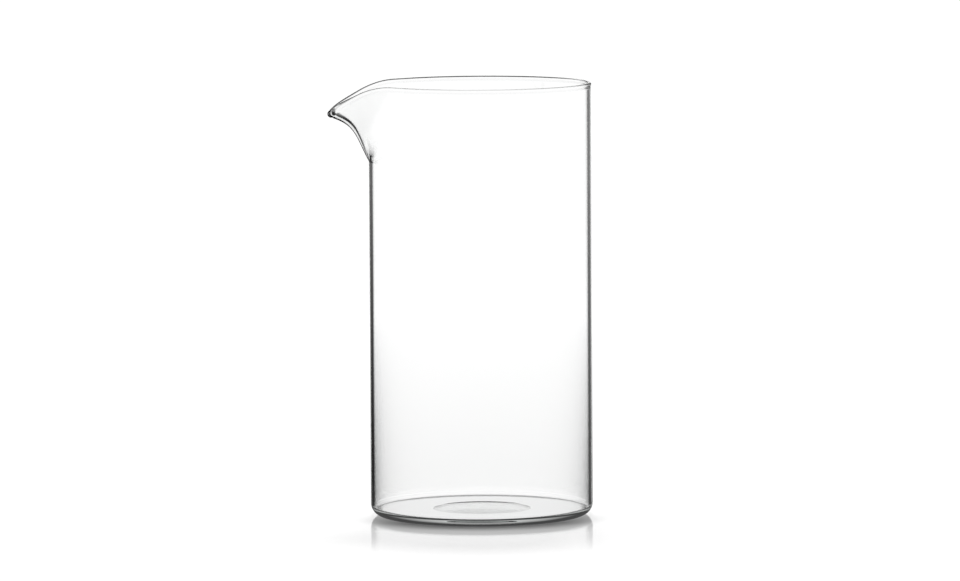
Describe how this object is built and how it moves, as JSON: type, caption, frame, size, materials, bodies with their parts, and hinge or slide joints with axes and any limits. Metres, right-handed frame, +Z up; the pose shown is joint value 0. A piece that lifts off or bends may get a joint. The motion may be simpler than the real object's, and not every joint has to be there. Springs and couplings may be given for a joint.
{
  "type": "cocktail pitcher",
  "caption": "Clear glass cocktail pitcher: a straight thin-walled cylinder with a rounded flat base, a fire-polished rim and a long drooping spout for stirring and pouring drinks.",
  "frame": {"origin": "centre of the base's standing ring, on the body's axis, in the plane of the table", "axes": "+Z up along the body's axis; -X towards the spout's tip; Y across the spout, with the jug symmetric about the XZ plane"},
  "size_m": [0.1067, 0.0902, 0.1755],
  "materials": {
    "glass": "clear, fire-polished borosilicate glass"
  },
  "bodies": {
    "root": {"base": "glass", "wall": "glass", "rim": "glass", "spout": "glass"}
  },
  "joints": []
}
